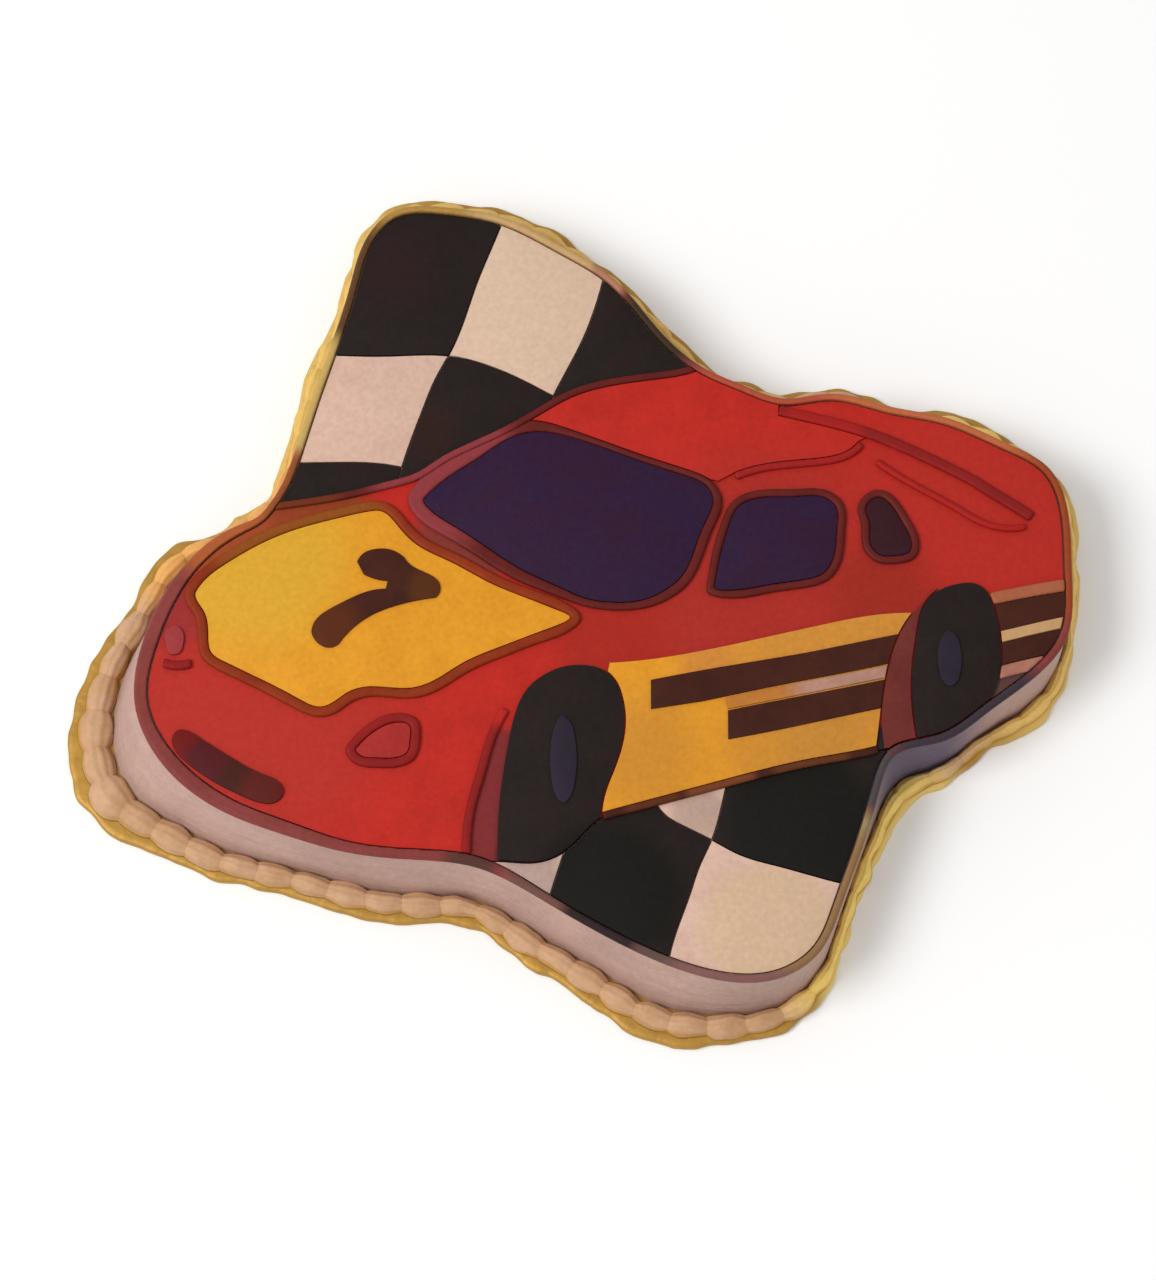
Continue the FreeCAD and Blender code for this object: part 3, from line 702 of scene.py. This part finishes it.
navy = icing("set_navy_icing", "#2b1535", "#30122a", blotch=0.02, mottle=0.10, places=NAVY_PLACES)
yellow = icing("set_yellow_icing", "#db9524", "#d18a20", places=HOOD_PLACES + SILL_PLACES)
brown = icing("set_dark_brown_icing", "#431d12", "#37160e",
              places=SILL_FOOT_PLACES + GRILLE_PLACES + NUMERAL_PLACES)
brown_red = icing("piped_brown_red_icing", "#8b3010", "#7c280c", places=HOOD_LINE_PLACES)
dark_red = icing("piped_dark_red_icing", "#621d18", "#561815", places=WINDSHIELD_LINE_PLACES)
deep_red = icing("piped_deep_red_icing", "#891b18", "#7c1716", places=FAINT_LINE_PLACES)
maroon_red = icing("set_maroon_red_icing", "#6c2c26", "#5f2420")
lens_red = icing("set_pale_red_icing", "#a32c28", "#992724", places=LENS_PLACES)
pink = icing("piped_pink_icing", "#a8705f", "#97604f")
orange = icing("piped_orange_icing", "#a45e42", "#985538")
for part in ("hood_panel", "sill_panel"):
    lay_flat(part, yellow, "icing_yellow", CAR_SHOULDER)
for part in ("windshield_pane", "side_window_panes"):
    lay_flat(part, navy, "icing_navy", CAR_SHOULDER)
for part in ("front_tyre", "rear_tyre"):
    lay_flat(part, black, "icing_black", CAR_SHOULDER)
lay_flat("roof_panel", red, "icing_red", CAR_SHOULDER)
lay_flat("headlight_lenses", lens_red, "icing_red", CAR_SHOULDER)
lay_flat("rear_arch", maroon_red, "icing_brown_red", CAR_SHOULDER)
for part in ("grille_slot", "tail_band"):
    lay_flat(part, brown, "icing_dark_brown", CAR_SHOULDER)
lay_line("hood_outline", brown_red, "icing_brown_red")
for part in ("windshield_frame", "side_window_frames", "car_back_line"):
    lay_line(part, dark_red, "icing_brown_red")
for part in ("drip_rail", "headlight_rings", "rear_spoiler"):
    lay_line(part, deep_red, "icing_deep_red")
lay_line("front_arch", deep_red, "icing_brown_red")
lay_line("sill_foot_line", brown, "icing_dark_brown")
lay_line("tail_line_pink", pink, "icing_brown_red")
lay_line("tail_line_yellow", orange, "icing_yellow")

# Third layer: the numeral, the stripes on the side and the wheel middles, cut
# or run thin in set icing and laid on the parts below while those are soft.
TOP_SHOULDER = 0.0004
TAN_PLACES = (("#b06f2e", 60, -48, 16, 14), ("#ba9264", 175, -17, 20, 8))

tan = icing("set_tan_icing", "#ad8272", "#9f7463", places=TAN_PLACES)
dusk = icing("set_dusk_purple_icing", "#2b2231", "#251e29")
for part in ("hood_numeral", "sill_stripe_upper", "sill_stripe_lower"):
    lay_flat(part, brown, "icing_dark_brown", TOP_SHOULDER)
for part in ("sill_stripe_pale", "tail_line_cream"):
    lay_flat(part, tan, "icing_ivory", TOP_SHOULDER)
for part in ("front_hub", "rear_hub"):
    lay_flat(part, dusk, "icing_navy", TOP_SHOULDER)

# Table top: a white sheet that fills the picture behind the cake. It is only
# the place where the cake stands, so it is stage and isn't kept.
TABLE_HALF = 3.0
TABLE_LIFT = 0.02
TABLE_WHITE = "#f7f7f7"


def table_top():
    """A flat white sheet that looks a little brighter to the camera alone."""
    material, tree, shader, _ = new_finish("white_table_sheet")
    seen = add(tree, "ShaderNodeLightPath").outputs["Is Camera Ray"]
    lift = add(tree, "ShaderNodeMath", {0: seen, 1: TABLE_LIFT}, operation="MULTIPLY")
    tree.links.new(lift.outputs["Value"], shader.inputs["Emission Strength"])
    shader.inputs["Emission Color"].default_value = (1, 1, 1, 1)
    shader.inputs["Base Color"].default_value = linear(TABLE_WHITE)
    shader.inputs["Roughness"].default_value = 0.8
    mesh = bpy.data.meshes.new("table_top")
    corners = [(x * TABLE_HALF, y * TABLE_HALF, 0) for x, y in ((-1, -1), (1, -1), (1, 1), (-1, 1))]
    mesh.from_pydata(corners, [], [(0, 1, 2, 3)])
    mesh.materials.append(material)
    linked("table_top", mesh)


table_top()

# Light: one large soft lamp high on the left, which lays a short shadow to the
# right of the cake, and a pale sky all round that fills it.
LAMP_FROM = Vector((-1.7, -0.45, 2.3))
LAMP_WIDE = 1.3
LAMP_POWER = 50.0
SKY_COLOUR = (1.0, 0.995, 0.98, 1)
SKY_STRENGTH = 0.66


def aimed(name, data, place, target):
    """Puts a lamp or a camera in its place, turned to the target."""
    thing = linked(name, data)
    thing.location = place
    thing.rotation_euler = (target - place).to_track_quat("-Z", "Y").to_euler()
    return thing


lamp = bpy.data.lights.new("soft_key", "AREA")
lamp.size = LAMP_WIDE
lamp.energy = LAMP_POWER
aimed("soft_key", lamp, LAMP_FROM, Vector((0, 0, 0)))
sky = bpy.data.worlds.new("pale_sky")
bpy.context.scene.world = sky
sky.use_nodes = True
backdrop = sky.node_tree.nodes["Background"]
backdrop.inputs["Color"].default_value = SKY_COLOUR
backdrop.inputs["Strength"].default_value = SKY_STRENGTH

# Camera: above the near side, looking down at 71 degrees through a long lens,
# as the photo was taken.
CAMERA_DOWN = math.radians(71)
CAMERA_FAR = 2.0
CAMERA_AIM = Vector((0.0005, -0.022, 0.033))
CAMERA_LENS = 148.5
CAMERA_SENSOR = 36

camera = bpy.data.cameras.new("camera")
camera.lens = CAMERA_LENS
camera.sensor_width = CAMERA_SENSOR
away = CAMERA_FAR * Vector((0, -math.cos(CAMERA_DOWN), math.sin(CAMERA_DOWN)))
bpy.context.scene.camera = aimed("camera", camera, CAMERA_AIM + away, CAMERA_AIM)
bpy.context.scene.view_settings.view_transform = "Standard"
